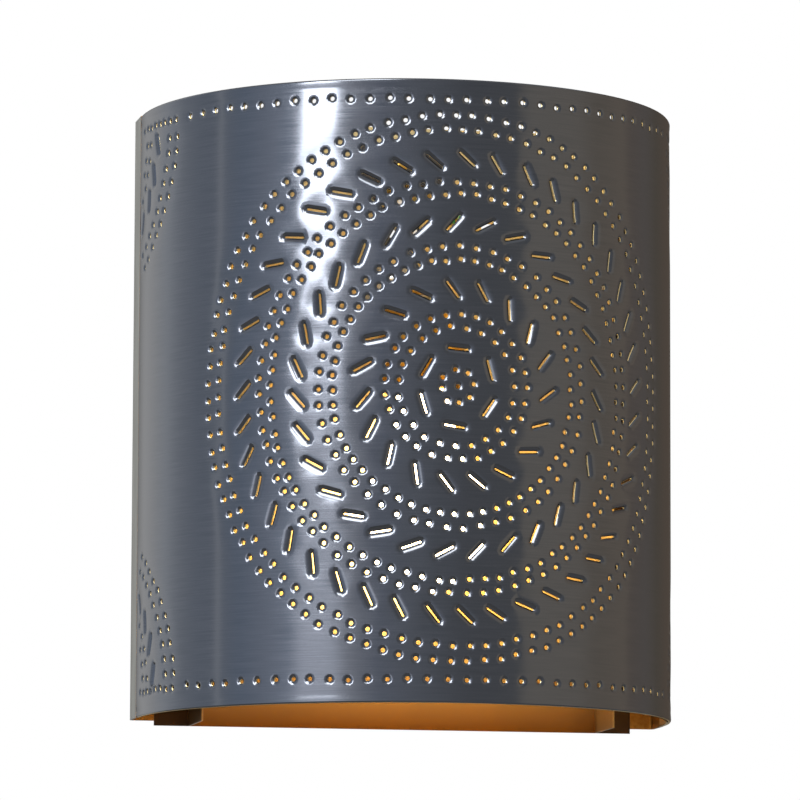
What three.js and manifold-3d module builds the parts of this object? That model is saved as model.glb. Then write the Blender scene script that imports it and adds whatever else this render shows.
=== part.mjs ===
// A punched tin wall sconce: a half-round shade that hangs on a wall plate, with a screw-in bulb
// pointing down inside it. Millimetres, +Z up, the wall is the plane y = 0 and the front faces -Y.
import * as THREE from "three";
import { mergeVertices } from "three/addons/utils/BufferGeometryUtils.js";
import Module from "manifold-3d";

const wasm = await Module();
wasm.setup();

// Thicknesses and gaps
const SHEET = 0.8; // tinplate
const SEAT_GAP = 0.3; // between pieces that are soldered, riveted or screwed together
const RUN_GAP = 0.4; // between pieces that slide or turn past each other

// Shade
const SHADE_RADIUS = 113; // outside of the half circle
const SHADE_HEIGHT = 254;
const SHADE_FACETS = 40;
const HEM_HEIGHT = 6; // sheet folded back inside along the top and bottom edges
const RAIL_DEPTH = 18; // flat strip between the wall and the shade's back edge
const RAIL_LIP = 10; // lip that lies on the wall
const RAIL_LAP = 8; // tongue behind the shade's edge, where the seam is soldered

// Punched marks: a cut's length and width at the sheet's face and of the slit at its foot, and a dot's dent
const CUT_FACE = [11.6, 5];
const CUT_SLIT = [8.7, 1];
const DOT_RADIUS = 2.4;
const DOT_DEPTH = 0.6;
const DOT_SIDES = 3;

// Chisel cuts: ring radius, count, first cut's bearing, and tilt from the ring's own direction, in degrees
const CUT_RINGS = [
  { radius: 93, count: 43, first: 4, tilt: -46 },
  { radius: 67, count: 31, first: 10, tilt: 34 },
  { radius: 39.8, count: 19, first: 17, tilt: -50 },
  { radius: 15.5, count: 6, first: 28, tilt: -7 },
];
const FAN = { radius: 46, count: 4, first: 9, step: 15.7, tilt: 35 }; // part ring at each corner
const FAN_OUTSIDE = 20.5; // fans' centres, beyond the sheet's side edges
const FAN_INSET = 9; // fans' centres, in from the sheet's top and bottom edges

// Dots: rings round the rosette's middle, part rings in the fans, and a row along each hem
const DOT_RINGS = [
  { radius: 111.3, count: 99, first: 3 },
  { radius: 105.2, count: 94, first: 1 },
  { radius: 83.9, count: 75, first: 4 },
  { radius: 78.8, count: 76, first: 4 },
  { radius: 57.4, count: 51, first: 4 },
  { radius: 51.8, count: 54, first: 2 },
  { radius: 29.8, count: 29, first: 1 },
  { radius: 24.3, count: 23, first: 2 },
  { radius: 7, count: 8, first: 8 },
];
const FAN_DOT_RADII = [64.5, 58];
const DOT_PITCH = 6.4; // in the fans
const BORDER_PITCH = 8;
const BORDER_INSET = 9; // rows, in from the sheet's top and bottom edges
const EDGE_MARGIN = 6; // plain metal at the sheet's side edges

// Wall plate and hangers
const PLATE_MARGIN = 25; // from the plate's flanges to the shade's sides
const PLATE_HEIGHT = 258;
const PLATE_FLANGE = 34; // depth of the folded sides
const HANG_HEIGHT = 60; // hanger pins, above the middle of the plate
const PIN_RADIUS = 2.5;
const PIN_REACH = 9; // from the flange to the pin's head
const PIN_HEAD_RADIUS = 4.5;
const PIN_HEAD = 1.6;
const HOOK_SHEET = 1.4;
const HOOK_HEIGHT = 26;
const HOOK_MARGIN = 6; // hook's metal in front of the pin

// Wall box and wire hole
const BOX_LEVEL = 86; // middle of the wall box on the plate
const BOX_SCREW_SPACING = 88.9; // a 3.5 inch wall box
const BOX_SLOT_WIDTH = 5.4;
const BOX_SLOT_LENGTH = 14;
const WIRE_HOLE_RADIUS = 8;
const GROMMET_BORE_RADIUS = 5.5;
const GROMMET_LIP = 2; // beyond the hole's edge
const GROMMET_LIP_THICKNESS = 1.8;

// Lamp socket and its bracket
const LAMP_REACH = 56; // bulb axis, from the wall
const ARM_LEVEL = 45; // underside of the bracket's arm
const BRACKET_WIDTH = 26;
const BRACKET_SHEET = 1.5;
const BRACKET_RISE = 24; // leg riveted to the plate
const RIVET_RADIUS = 1.8;
const RIVET_HEAD_RADIUS = 3.4;
const RIVET_HEAD = 1.2;
const SOCKET_RADIUS = 18;
const SOCKET_CROWN_RADIUS = 15.5;
const SOCKET_HEIGHT = 37;
const SOCKET_ROOF = 7; // solid top, above the screw shell
const CONTACT_RADIUS = 5.5;
const CONTACT_SHEET = 1;
const NIPPLE_RADIUS = 4.9;
const NIPPLE_BORE_RADIUS = 3.7;
const NIPPLE_SEAT = 5; // depth of the nipple's seat in the socket
const NIPPLE_RISE = 8; // above the bracket's arm
const NUT_ACROSS_FLATS = 15;
const NUT_THICKNESS = 4;
const WASHER_RADIUS = 8.5;
const WASHER_THICKNESS = 0.9;

// Bulb: a medium screw base under a 60 mm globe
const BASE_RADIUS = 13; // crest of the thread
const THREAD_PITCH = 3.629; // seven threads to the inch
const THREAD_DEPTH = 0.8;
const THREAD_TURNS = 6;
const BASE_WALL = 0.6;
const INSULATOR_HEIGHT = 3;
const TIP_RADIUS = 4.6;
const TIP_HEIGHT = 1.5;
const GLOBE_RADIUS = 30;
const GLASS_LENGTH = 84; // below the socket's mouth
const GLASS_WALL = 1;
const STEM_LENGTH = 42;
const STEM_RADIUS = 3.2;
const SUPPORT_RADIUS = 0.5;
const SUPPORT_SPREAD = 9;
const SUPPORT_DROP = 16;
const FILAMENT_RADIUS = 0.7;
const TURNED_FACETS = 28;

// Terminal block, earth screw and leads
const BLOCK_WIDTH = 36;
const BLOCK_DEPTH = 13;
const BLOCK_HEIGHT = 18;
const BLOCK_RISE = 25; // block's middle, above the wall box's middle
const POLE_PITCH = 11;
const ENTRY_RADIUS = 1.8;
const ENTRY_DEPTH = 5;
const CLAMP_RADIUS = 2.2;
const CLAMP_DEPTH = 2.5;
const LEAD_RADIUS = 1.1;
const LEAD_SPREAD = 1.75; // half the distance between the two leads in the nipple
const LEAD_SAG = 10; // forward bow of the leads on their way to the block
const EARTH_OFFSET = 30; // earth screw, beside the plate's middle
const EARTH_DROP = 22; // earth screw, below the block's middle
const LUG_RADIUS = 4.6;
const LUG_THICKNESS = 1;
const EARTH_HEAD_ACROSS_FLATS = 7;
const EARTH_HEAD = 3.2;

// Finishes
const finish = (color, roughness, metalness) =>
  new THREE.MeshStandardMaterial({ color, roughness, metalness });
const TIN = finish(0x5d646b, 0.28, 1);
const RAIL_TIN = finish(0x85857f, 0.35, 1);
const PLATE_TIN = finish(0xc39f57, 0.4, 1);
const STEEL = finish(0xb4b4b0, 0.35, 1);
const BRASS = finish(0xc49a4a, 0.35, 1);
const NICKEL = finish(0xbfb9ac, 0.3, 1);
const TUNGSTEN = finish(0x6b6a68, 0.5, 1);
const PHENOLIC = finish(0x1c1a19, 0.5, 0);
const RUBBER = finish(0x202020, 0.8, 0);
const FROSTED_GLASS = finish(0xfff3de, 0.4, 0);
const CLEAR_GLASS = finish(0xe8efee, 0.1, 0);
const BLACK_PVC = finish(0x17181a, 0.5, 0);
const WHITE_PVC = finish(0xe9e7e1, 0.5, 0);
const GREEN_PVC = finish(0x2f7a43, 0.5, 0);

// Solids, cuts and joins
const solid = (geometry) => {
  const bare = geometry.index ? geometry.toNonIndexed() : geometry.clone();
  for (const name of Object.keys(bare.attributes)) if (name !== "position") bare.deleteAttribute(name);
  const merged = mergeVertices(bare, 1e-4);
  const vertProperties = merged.attributes.position.array;
  const triVerts = new Uint32Array(merged.index.array);
  return new wasm.Manifold(new wasm.Mesh({ numProp: 3, vertProperties, triVerts }));
};
const geometryOf = (body) => {
  const mesh = body.getMesh();
  return new THREE.BufferGeometry()
    .setAttribute("position", new THREE.BufferAttribute(new Float32Array(mesh.vertProperties), 3))
    .setIndex(new THREE.BufferAttribute(new Uint32Array(mesh.triVerts), 1));
};
const cut = (geometry, ...tools) =>
  geometryOf(tools.reduce((body, tool) => body.subtract(solid(tool)), solid(geometry)));
const join = (geometry, ...others) =>
  geometryOf(others.reduce((body, other) => body.add(solid(other)), solid(geometry)));

const box = (width, depth, height) => new THREE.BoxGeometry(width, depth, height);
const rodY = (radius, length, facets = 16) => new THREE.CylinderGeometry(radius, radius, length, facets);
const rodX = (radius, length, facets = 16) => rodY(radius, length, facets).rotateZ(-Math.PI / 2);
const rodZ = (radius, length, facets = 16) => rodY(radius, length, facets).rotateX(Math.PI / 2);

// A turned piece about the Z axis, from (radius, height) points with the metal on the line's left.
const turned = (points, facets = TURNED_FACETS) =>
  new THREE.LatheGeometry(points.map(([r, h]) => new THREE.Vector2(r, h)), facets).rotateX(Math.PI / 2);
// The same piece with its heights running forward from the wall, and outward along X on one side.
const turnedForward = (points, facets) => turned(points, facets).rotateX(Math.PI / 2);
const turnedSideways = (points, side, facets) => turned(points, facets).rotateY((side * Math.PI) / 2);

const outlineOf = (points) => new THREE.Shape(points.map(([x, y]) => new THREE.Vector2(x, y)));
// A flat outline in X-Y, raised along Z about the middle height given.
const raised = (outline, height, middle = 0) => {
  const slab = new THREE.ExtrudeGeometry(outline, { depth: height, bevelEnabled: false });
  return slab.translate(0, 0, middle - height / 2);
};

// A wire of round section along a smooth line through the points.
const wire = (points, radius, steps, sides = 8) => {
  const corners = Array.from({ length: sides }, (_, i) => (2 * Math.PI * i) / sides);
  const section = outlineOf(corners.map((turn) => [radius * Math.cos(turn), radius * Math.sin(turn)]));
  const extrudePath = new THREE.CatmullRomCurve3(points.map((place) => new THREE.Vector3(...place)));
  return new THREE.ExtrudeGeometry(section, { steps, extrudePath, bevelEnabled: false });
};

const sconce = new THREE.Group();
const add = (name, geometry, material, x = 0, y = 0, z = 0) => {
  const mesh = new THREE.Mesh(geometry, material);
  mesh.name = name;
  mesh.position.set(x, y, z);
  sconce.add(mesh);
};
const SIDES = [
  ["left", -1],
  ["right", 1],
];

// Levels and places shared by pieces that meet
const halfPlate = SHADE_RADIUS - PLATE_MARGIN;
const pinDepth = -PLATE_FLANGE / 2;
const bracketBack = -SHEET - SEAT_GAP;
const bracketFront = bracketBack - BRACKET_SHEET;
const armTop = ARM_LEVEL + BRACKET_SHEET;
const blockLevel = BOX_LEVEL + BLOCK_RISE;
const blockBack = -SHEET - SEAT_GAP;
const blockFront = blockBack - BLOCK_DEPTH;
const earthLevel = blockLevel - EARTH_DROP;
const rivetLevels = [1 / 3, 3 / 4].map((share) => ARM_LEVEL + share * BRACKET_RISE);
const rivetHole = RIVET_RADIUS + SEAT_GAP;
const nippleHole = NIPPLE_RADIUS + SEAT_GAP;
const poles = { hot: -POLE_PITCH, neutral: 0, earth: POLE_PITCH };
const blockScrews = [-POLE_PITCH / 2, POLE_PITCH / 2];
const throughSheet = 4 * SHEET;

// Wall plate: a sheet that fills the space between the rails' lips, with a flange standing at each side,
// slots for the wall box's screws and a wire hole
const halfBack = SHADE_RADIUS - RAIL_LIP - RUN_GAP;
const tray = outlineOf([
  [-halfBack, 0],
  [-halfBack, -SHEET],
  [-halfPlate, -SHEET],
  [-halfPlate, -PLATE_FLANGE],
  [-halfPlate + SHEET, -PLATE_FLANGE],
  [-halfPlate + SHEET, -SHEET],
  [halfPlate - SHEET, -SHEET],
  [halfPlate - SHEET, -PLATE_FLANGE],
  [halfPlate, -PLATE_FLANGE],
  [halfPlate, -SHEET],
  [halfBack, -SHEET],
  [halfBack, 0],
]);
const plateHole = (radius, x, level, facets = 12) =>
  rodY(radius, throughSheet, facets).translate(x, 0, level);
const slotPlace = BOX_SCREW_SPACING / 2;
add(
  "wall_plate",
  cut(
    raised(tray, PLATE_HEIGHT),
    plateHole(WIRE_HOLE_RADIUS, 0, BOX_LEVEL, 24),
    plateHole(rivetHole, EARTH_OFFSET, earthLevel),
    ...rivetLevels.map((level) => plateHole(rivetHole, 0, level)),
    ...blockScrews.map((x) => plateHole(rivetHole, x, blockLevel)),
    ...SIDES.map(([, side]) =>
      box(BOX_SLOT_LENGTH, throughSheet, BOX_SLOT_WIDTH).translate(side * slotPlace, 0, BOX_LEVEL),
    ),
    ...SIDES.map(([, side]) =>
      rodX(PIN_RADIUS + SEAT_GAP, throughSheet).translate(side * halfPlate, pinDepth, HANG_HEIGHT),
    ),
  ),
  PLATE_TIN,
);

// Rubber grommet in the wire hole, its lip on the plate's front
const grommetNeck = WIRE_HOLE_RADIUS - SEAT_GAP;
const grommetLip = WIRE_HOLE_RADIUS + GROMMET_LIP;
const grommetSeat = SHEET + SEAT_GAP;
const grommetFront = grommetSeat + GROMMET_LIP_THICKNESS;
add(
  "wire_grommet",
  turnedForward(
    [
      [GROMMET_BORE_RADIUS, 0],
      [grommetNeck, 0],
      [grommetNeck, grommetSeat],
      [grommetLip, grommetSeat],
      [grommetLip, grommetFront],
      [GROMMET_BORE_RADIUS, grommetFront],
      [GROMMET_BORE_RADIUS, 0],
    ],
    24,
  ),
  RUBBER,
  0,
  0,
  BOX_LEVEL,
);

// Hanger pins, riveted through the plate's flanges
const pinFoot = halfPlate - SHEET - SEAT_GAP - PIN_HEAD;
const pinHeadFrom = PIN_HEAD + 2 * SEAT_GAP + SHEET + PIN_REACH;
for (const [word, side] of SIDES)
  add(
    `${word}_hanger_pin`,
    turnedSideways(
      [
        [0, 0],
        [PIN_HEAD_RADIUS, 0],
        [PIN_HEAD_RADIUS, PIN_HEAD],
        [PIN_RADIUS, PIN_HEAD],
        [PIN_RADIUS, pinHeadFrom],
        [PIN_HEAD_RADIUS, pinHeadFrom],
        [PIN_HEAD_RADIUS, pinHeadFrom + PIN_HEAD],
        [0, pinHeadFrom + PIN_HEAD],
      ],
      side,
      16,
    ),
    STEEL,
    side * pinFoot,
    pinDepth,
    HANG_HEIGHT,
  );

// Socket bracket: a strap with a leg riveted to the plate and an arm over the bulb
const armEnd = -LAMP_REACH - BRACKET_WIDTH / 2;
const strap = outlineOf([
  [bracketBack, ARM_LEVEL],
  [bracketBack, ARM_LEVEL + BRACKET_RISE],
  [bracketFront, ARM_LEVEL + BRACKET_RISE],
  [bracketFront, armTop],
  [armEnd, armTop],
  [armEnd, ARM_LEVEL],
]);
const throughStrap = 4 * BRACKET_SHEET;
add(
  "socket_bracket",
  cut(
    raised(strap, BRACKET_WIDTH).rotateX(Math.PI / 2).rotateZ(Math.PI / 2),
    rodZ(nippleHole, throughStrap, 20).translate(0, -LAMP_REACH, ARM_LEVEL),
    ...rivetLevels.map((level) => rodY(rivetHole, throughStrap, 12).translate(0, bracketBack, level)),
  ),
  STEEL,
);

// Rivets and screws that pass through the plate: shank level with the wall, head in front
const headed = (grip, shank, head, height, crown) => [
  [0, 0],
  [shank, 0],
  [shank, grip],
  [head, grip],
  [head, grip + height / 2],
  [crown, grip + height],
  [0, grip + height],
];
const rivetGrip = -bracketFront + SEAT_GAP;
const rivetCrown = RIVET_HEAD_RADIUS * 0.7;
const rivetProfile = headed(rivetGrip, RIVET_RADIUS, RIVET_HEAD_RADIUS, RIVET_HEAD, rivetCrown);
rivetLevels.forEach((level, i) =>
  add(`bracket_rivet_${i + 1}`, turnedForward(rivetProfile, 12), STEEL, 0, 0, level),
);

// Lamp socket, hung under the arm on a threaded nipple; heights run down from the socket's top
const socketTop = ARM_LEVEL - SEAT_GAP;
const addLamp = (name, geometry, material) => add(name, geometry, material, 0, -LAMP_REACH, socketTop);
const threadInside = BASE_RADIUS + RUN_GAP;
const threadOutside = threadInside + THREAD_DEPTH + BASE_WALL;
const cavity = threadOutside + SEAT_GAP;
addLamp(
  "socket_body",
  turned([
    [cavity, -SOCKET_HEIGHT],
    [SOCKET_RADIUS, -SOCKET_HEIGHT],
    [SOCKET_RADIUS, -2 * SOCKET_ROOF],
    [SOCKET_CROWN_RADIUS, -SOCKET_ROOF],
    [SOCKET_CROWN_RADIUS, 0],
    [nippleHole, 0],
    [nippleHole, -NIPPLE_SEAT],
    [NIPPLE_BORE_RADIUS, -NIPPLE_SEAT],
    [NIPPLE_BORE_RADIUS, -SOCKET_ROOF],
    [cavity, -SOCKET_ROOF],
    [cavity, -SOCKET_HEIGHT],
  ]),
  BRASS,
);
const contactTop = -SOCKET_ROOF - SEAT_GAP;
const tipTop = contactTop - CONTACT_SHEET - SEAT_GAP;
const insulatorTop = tipTop - TIP_HEIGHT - SEAT_GAP;
const baseTop = insulatorTop - INSULATOR_HEIGHT - SEAT_GAP;
const baseEnd = baseTop - THREAD_TURNS * THREAD_PITCH;
addLamp(
  "socket_contact",
  turned([
    [0, contactTop - CONTACT_SHEET],
    [CONTACT_RADIUS, contactTop - CONTACT_SHEET],
    [CONTACT_RADIUS, contactTop],
    [0, contactTop],
  ]),
  BRASS,
);
// The thread's wave, from the base's end up: two radii that take turns, half a pitch apart.
const wave = (first, second) =>
  Array.from({ length: 2 * THREAD_TURNS + 1 }, (_, i) => {
    const radius = i % 2 ? second : first;
    return [radius, baseEnd + (i * THREAD_PITCH) / 2];
  });
const shellInside = wave(threadInside + THREAD_DEPTH, threadInside);
const shellOutside = shellInside.map(([r, h]) => [r + BASE_WALL, h]);
addLamp("socket_screw_shell", turned([...shellOutside, ...shellInside.reverse(), shellOutside[0]]), BRASS);

const nippleFoot = -NIPPLE_SEAT + SEAT_GAP;
const nippleTop = SEAT_GAP + BRACKET_SHEET + NIPPLE_RISE;
const tube = (inner, outer, from, to) => [
  [inner, from],
  [outer, from],
  [outer, to],
  [inner, to],
  [inner, from],
];
addLamp("socket_nipple", turned(tube(NIPPLE_BORE_RADIUS, NIPPLE_RADIUS, nippleFoot, nippleTop), 20), BRASS);
const washerFoot = SEAT_GAP + BRACKET_SHEET + SEAT_GAP;
const washerTop = washerFoot + WASHER_THICKNESS;
const nutFoot = washerTop + SEAT_GAP;
addLamp("socket_washer", turned(tube(nippleHole, WASHER_RADIUS, washerFoot, washerTop), 20), STEEL);
const hexRadius = (acrossFlats) => acrossFlats / Math.sqrt(3);
addLamp(
  "socket_nut",
  cut(
    rodZ(hexRadius(NUT_ACROSS_FLATS), NUT_THICKNESS, 6).translate(0, 0, nutFoot + NUT_THICKNESS / 2),
    rodZ(nippleHole, 3 * NUT_THICKNESS, 20).translate(0, 0, nutFoot),
  ),
  BRASS,
);

// Terminal block on the plate, with a clamp screw over each wire entry
const blockFoot = blockLevel - BLOCK_HEIGHT / 2;
const clampLevel = blockFoot + ENTRY_DEPTH + CLAMP_RADIUS + 2 * SEAT_GAP;
const entryDepth = (blockBack + blockFront) / 2;
const poleList = Object.entries(poles);
const clampBore = CLAMP_RADIUS + SEAT_GAP;
add(
  "terminal_block",
  cut(
    box(BLOCK_WIDTH, BLOCK_DEPTH, BLOCK_HEIGHT).translate(0, entryDepth, blockLevel),
    ...poleList.map(([, x]) => rodZ(ENTRY_RADIUS, 2 * ENTRY_DEPTH, 12).translate(x, entryDepth, blockFoot)),
    ...poleList.map(([, x]) => rodY(clampBore, 2 * CLAMP_DEPTH).translate(x, blockFront, clampLevel)),
    ...blockScrews.map((x) => rodY(rivetHole, 3 * BLOCK_DEPTH, 12).translate(x, blockFront, blockLevel)),
  ),
  PHENOLIC,
);
const clampDepth = blockFront + CLAMP_DEPTH / 2 - SEAT_GAP;
for (const [word, x] of poleList)
  add(`${word}_clamp_screw`, rodY(CLAMP_RADIUS, CLAMP_DEPTH), BRASS, x, clampDepth, clampLevel);
const blockScrewReach = -blockFront + SEAT_GAP;
const blockScrewProfile = headed(blockScrewReach, RIVET_RADIUS, CLAMP_RADIUS, RIVET_HEAD, RIVET_RADIUS);
blockScrews.forEach((x, i) =>
  add(`block_screw_${i + 1}`, turnedForward(blockScrewProfile, 12), STEEL, x, 0, blockLevel),
);

// Earth screw and ring lug on the plate, beside the block
const lugSeat = SHEET + SEAT_GAP;
const earthGrip = lugSeat + LUG_THICKNESS + SEAT_GAP;
const earthShank = earthGrip + EARTH_HEAD / 2;
add(
  "earth_lug",
  turnedForward(tube(rivetHole, LUG_RADIUS, lugSeat, lugSeat + LUG_THICKNESS), 16),
  BRASS,
  EARTH_OFFSET,
  0,
  earthLevel,
);
add(
  "earth_screw",
  join(
    rodY(RIVET_RADIUS, earthShank, 12).translate(0, -earthShank / 2, 0),
    rodY(hexRadius(EARTH_HEAD_ACROSS_FLATS), EARTH_HEAD, 6).translate(0, -earthShank, 0),
  ),
  GREEN_PVC,
  EARTH_OFFSET,
  0,
  earthLevel,
);

// Leads: two from the socket, through the nipple and back to the block, and one to the earth lug
const leadTop = blockFoot + ENTRY_DEPTH - SEAT_GAP;
const nippleEnd = socketTop + nippleTop;
const lead = (startX, endX) =>
  wire(
    [
      [startX, -LAMP_REACH, socketTop - SOCKET_ROOF + SEAT_GAP],
      [startX, -LAMP_REACH, nippleEnd],
      [startX, -LAMP_REACH, nippleEnd + LEAD_SAG / 2],
      [(startX + endX) / 2, -LAMP_REACH / 2 - LEAD_SAG, (nippleEnd + blockFoot) / 2],
      [endX, entryDepth, blockFoot - LEAD_SAG / 2],
      [endX, entryDepth, blockFoot],
      [endX, entryDepth, leadTop],
    ],
    LEAD_RADIUS,
    36,
  );
add("hot_lead", lead(-LEAD_SPREAD, poles.hot), BLACK_PVC);
add("neutral_lead", lead(LEAD_SPREAD, poles.neutral), WHITE_PVC);
const lugDepth = -lugSeat - LEAD_RADIUS;
const lugEdge = EARTH_OFFSET - LUG_RADIUS - SEAT_GAP;
add(
  "earth_lead",
  wire(
    [
      [poles.earth, entryDepth, leadTop],
      [poles.earth, entryDepth, blockFoot],
      [poles.earth, entryDepth, blockFoot - LEAD_SAG / 2],
      [(poles.earth + lugEdge) / 2, (entryDepth + lugDepth) / 2, earthLevel + LEAD_SAG / 8],
      [lugEdge, lugDepth, earthLevel],
    ],
    LEAD_RADIUS,
    20,
  ),
  GREEN_PVC,
);

// Shade: the half-round sheet with folded hems, slit by the chisel cuts and dented by the dots of its pattern
const shadeInside = SHADE_RADIUS - SHEET;
const halfRing = (outer, inner) => {
  const turns = Array.from({ length: SHADE_FACETS + 1 }, (_, i) => Math.PI * (1 + i / SHADE_FACETS));
  const place = (radius, turn) => [radius * Math.cos(turn), radius * Math.sin(turn) - RAIL_DEPTH];
  const arc = (radius) => turns.map((turn) => place(radius, turn));
  return outlineOf([...arc(outer), ...arc(inner).reverse()]);
};
const hemLevel = (SHADE_HEIGHT - HEM_HEIGHT) / 2;
const hem = (level) => raised(halfRing(SHADE_RADIUS - SHEET / 2, shadeInside - SHEET), HEM_HEIGHT, level);
const sheet = join(raised(halfRing(SHADE_RADIUS, shadeInside), SHADE_HEIGHT), hem(-hemLevel), hem(hemLevel));
// A cut's tool: a block that narrows through the sheet from the face's size to the slit's, and on past both.
const chisel = () => {
  const tool = box(1, 2 * SHEET, 1);
  const corners = tool.attributes.position;
  for (let i = 0; i < corners.count; i++) {
    const share = corners.getY(i) / SHEET + 0.5; // 0 at the sheet's face, 1 at its back
    const [length, width] = CUT_FACE.map((size, k) => size + share * (CUT_SLIT[k] - size));
    corners.setX(i, corners.getX(i) * length).setZ(i, corners.getZ(i) * width);
  }
  return tool;
};
// A tool at (along, up) on the unrolled sheet, at an angle to the level, its middle at the radius given.
const punched = (tool, radius, along, up, angle) => {
  const turn = along / SHADE_RADIUS;
  return tool
    .rotateY(-angle)
    .rotateZ(turn)
    .translate(radius * Math.sin(turn), -RAIL_DEPTH - radius * Math.cos(turn), up);
};
const radians = (degrees) => (degrees * Math.PI) / 180;
const cutAt = (ring, bearing, along, up) =>
  punched(
    chisel(),
    SHADE_RADIUS - SHEET / 2,
    along + ring.radius * Math.cos(bearing),
    up + ring.radius * Math.sin(bearing),
    bearing + Math.PI / 2 + radians(ring.tilt),
  );
const dotAt = (along, up) =>
  punched(new THREE.ConeGeometry(2 * DOT_RADIUS, 2 * DOT_DEPTH, DOT_SIDES), SHADE_RADIUS, along, up, 0);
const bearingsOf = (ring) =>
  Array.from({ length: ring.count }, (_, i) => radians(ring.first + (360 * i) / ring.count));
const rosetteCuts = CUT_RINGS.flatMap((ring) =>
  bearingsOf(ring).map((bearing) => cutAt(ring, bearing, 0, 0)),
);
const rosetteDots = DOT_RINGS.flatMap((ring) =>
  bearingsOf(ring).map((bearing) => dotAt(ring.radius * Math.cos(bearing), ring.radius * Math.sin(bearing))),
);

// Fans: the same marks on part rings about a point beyond each corner of the sheet
const halfLength = (SHADE_RADIUS * Math.PI) / 2;
const fanAlong = halfLength + FAN_OUTSIDE;
const fanRise = SHADE_HEIGHT / 2 - FAN_INSET;
const fans = SIDES.flatMap(([, side]) =>
  [-1, 1].flatMap((end) => {
    const cuts = Array.from({ length: FAN.count }, (_, i) => {
      const rise = radians(FAN.first + i * FAN.step);
      const bearing = Math.atan2(-end * Math.sin(rise), -side * Math.cos(rise));
      return cutAt({ ...FAN, tilt: -side * end * FAN.tilt }, bearing, side * fanAlong, end * fanRise);
    });
    const dots = FAN_DOT_RADII.flatMap((radius) => {
      const step = DOT_PITCH / radius;
      const count = Math.floor(Math.acos((FAN_OUTSIDE + EDGE_MARGIN) / radius) / step);
      const rises = Array.from({ length: count }, (_, i) => (i + 1) * step);
      return rises.map((rise) =>
        dotAt(side * (fanAlong - radius * Math.cos(rise)), end * (fanRise - radius * Math.sin(rise))),
      );
    });
    return [...cuts, ...dots];
  }),
);

// Border rows along the hems
const borderCount = 2 * Math.floor((halfLength - EDGE_MARGIN) / BORDER_PITCH);
const borderRise = SHADE_HEIGHT / 2 - BORDER_INSET;
const border = [-borderRise, borderRise].flatMap((up) =>
  Array.from({ length: borderCount }, (_, i) => dotAt((i + 0.5 - borderCount / 2) * BORDER_PITCH, up)),
);
add("shade_sheet", cut(sheet, ...rosetteCuts, ...rosetteDots, ...fans, ...border, dotAt(0, 0)), TIN);

// Side rails: an angle of sheet from the wall to the shade's edge, with a tongue soldered behind it
const railSide = SHADE_RADIUS - SHEET;
const tongueOut = Math.sqrt(shadeInside ** 2 - RAIL_LAP ** 2) - SEAT_GAP;
const tongueIn = tongueOut - SHEET;
const railEdge = SEAT_GAP - RAIL_DEPTH;
const tongueHeight = SHADE_HEIGHT - 2 * (HEM_HEIGHT + SEAT_GAP);
// Hooks: a channel soldered in each rail's corner, with a slot that drops over the hanger pin
const hookOut = tongueIn - SEAT_GAP;
const hookBack = -SHEET - RUN_GAP;
const hookFront = pinDepth - PIN_RADIUS - HOOK_MARGIN;
const gripMiddle = halfPlate + SEAT_GAP + PIN_REACH / 2;
const gripIn = gripMiddle - HOOK_SHEET / 2;
const gripOut = gripMiddle + HOOK_SHEET / 2;
const slotRadius = PIN_RADIUS + RUN_GAP;
const slotLength = 3 * HOOK_SHEET;
for (const [word, side] of SIDES) {
  const mirrored = (points) => outlineOf(points.map(([x, y]) => [side * x, y]));
  const angle = mirrored([
    [SHADE_RADIUS - RAIL_LIP, 0],
    [SHADE_RADIUS, 0],
    [SHADE_RADIUS, railEdge],
    [railSide, railEdge],
    [railSide, -SHEET],
    [SHADE_RADIUS - RAIL_LIP, -SHEET],
  ]);
  const tongue = mirrored([
    [tongueIn, railEdge + RAIL_LAP / 2],
    [railSide + SHEET / 2, railEdge + RAIL_LAP / 2],
    [railSide + SHEET / 2, railEdge + SEAT_GAP],
    [tongueOut, railEdge + SEAT_GAP],
    [tongueOut, -RAIL_DEPTH - RAIL_LAP],
    [tongueIn, -RAIL_DEPTH - RAIL_LAP],
  ]);
  add(`${word}_rail`, join(raised(angle, SHADE_HEIGHT), raised(tongue, tongueHeight)), RAIL_TIN);

  const channel = mirrored([
    [gripIn, hookBack],
    [hookOut, hookBack],
    [hookOut, railEdge],
    [hookOut - HOOK_SHEET, railEdge],
    [hookOut - HOOK_SHEET, hookBack - HOOK_SHEET],
    [gripOut, hookBack - HOOK_SHEET],
    [gripOut, hookFront],
    [gripIn, hookFront],
  ]);
  const slotMiddle = HANG_HEIGHT - HOOK_HEIGHT / 2;
  add(
    `${word}_hook`,
    cut(
      raised(channel, HOOK_HEIGHT, HANG_HEIGHT),
      rodX(slotRadius, slotLength).translate(side * gripMiddle, pinDepth, HANG_HEIGHT),
      box(slotLength, 2 * slotRadius, HOOK_HEIGHT).translate(side * gripMiddle, pinDepth, slotMiddle),
    ),
    STEEL,
  );
}

// Bulb: contact tip, insulator, screw base, frosted globe, and the stem and filament inside it
const tipRounding = TIP_HEIGHT / 3;
addLamp(
  "bulb_tip",
  turned(
    [
      [0, tipTop - TIP_HEIGHT],
      [TIP_RADIUS, tipTop - TIP_HEIGHT],
      [TIP_RADIUS - tipRounding, tipTop - tipRounding],
      [0, tipTop],
    ],
    20,
  ),
  BRASS,
);
const threadRoot = BASE_RADIUS - THREAD_DEPTH;
const baseInside = threadRoot - BASE_WALL;
addLamp(
  "bulb_insulator",
  turned([
    [0, insulatorTop - INSULATOR_HEIGHT],
    [baseInside, insulatorTop - INSULATOR_HEIGHT],
    [TIP_RADIUS + THREAD_DEPTH, insulatorTop],
    [0, insulatorTop],
  ]),
  PHENOLIC,
);
const baseWave = wave(threadRoot, BASE_RADIUS);
const baseProfile = [[baseInside, baseEnd], ...baseWave, [baseInside, baseTop], [baseInside, baseEnd]];
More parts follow.
